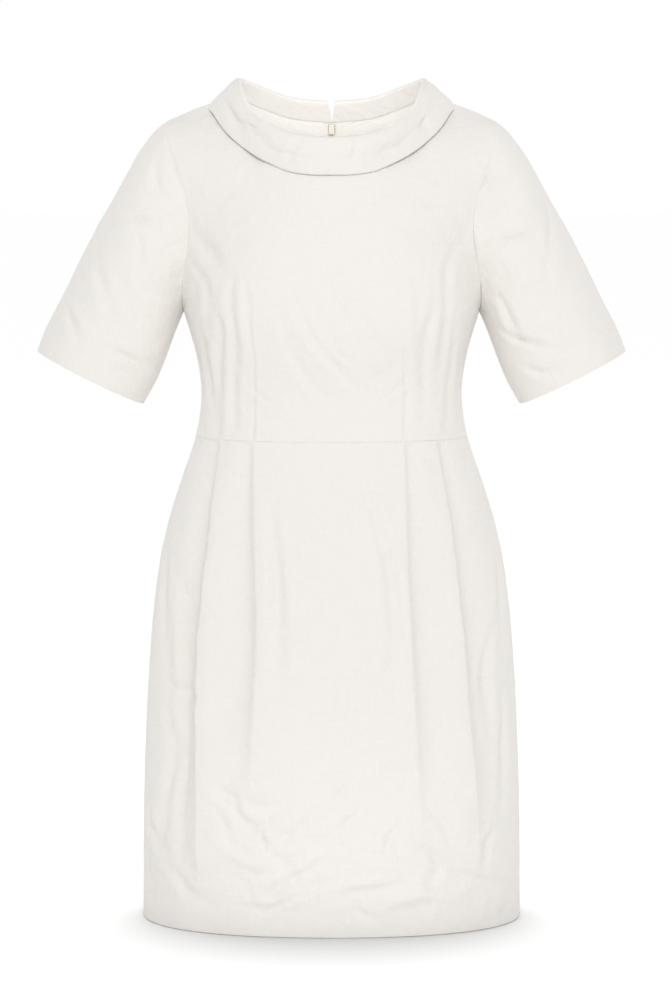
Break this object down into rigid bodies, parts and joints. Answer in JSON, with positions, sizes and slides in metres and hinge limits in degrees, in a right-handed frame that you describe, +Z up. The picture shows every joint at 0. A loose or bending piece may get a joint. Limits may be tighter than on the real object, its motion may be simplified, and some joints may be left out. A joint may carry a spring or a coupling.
{
  "type": "sheath dress",
  "caption": "Hollow-worn linen sheath dress with a rolled collar, flared elbow sleeves, soft skirt pleats and a back zip with a swinging pull.",
  "frame": {"origin": "midway between the neck ends of the two shoulder seams, where the dress hangs on the shoulders", "axes": "+Z up, the front of the dress faces -Y, +X is at the viewer's right in a front view"},
  "size_m": [0.7338, 0.2689, 1.0509],
  "materials": {
    "linen": "off-white plain-woven linen with slubs, unpressed",
    "zip_tape": "woven polyester zip tape",
    "zip_metal": "die-cast zinc in cream lacquer"
  },
  "bodies": {
    "dress": {"front_bodice": "linen", "back_bodice_right": "linen", "back_bodice_left": "linen", "front_skirt": "linen", "back_skirt_right": "linen", "back_skirt_left": "linen", "sleeve_right": "linen", "sleeve_left": "linen", "collar": "linen", "zip_tape_right": "zip_tape", "zip_tape_left": "zip_tape", "zip_slider": "zip_metal"},
    "zip_pull_tab": {"zip_pull": "zip_metal"}
  },
  "joints": [
    {"name": "zip_pull_swing", "type": "hinge", "parent": "dress", "child": "zip_pull_tab", "pos_m": [0, 0.09098, -0.03838], "axis": [1, 0, 0], "range_deg": [0, 150]}
  ]
}
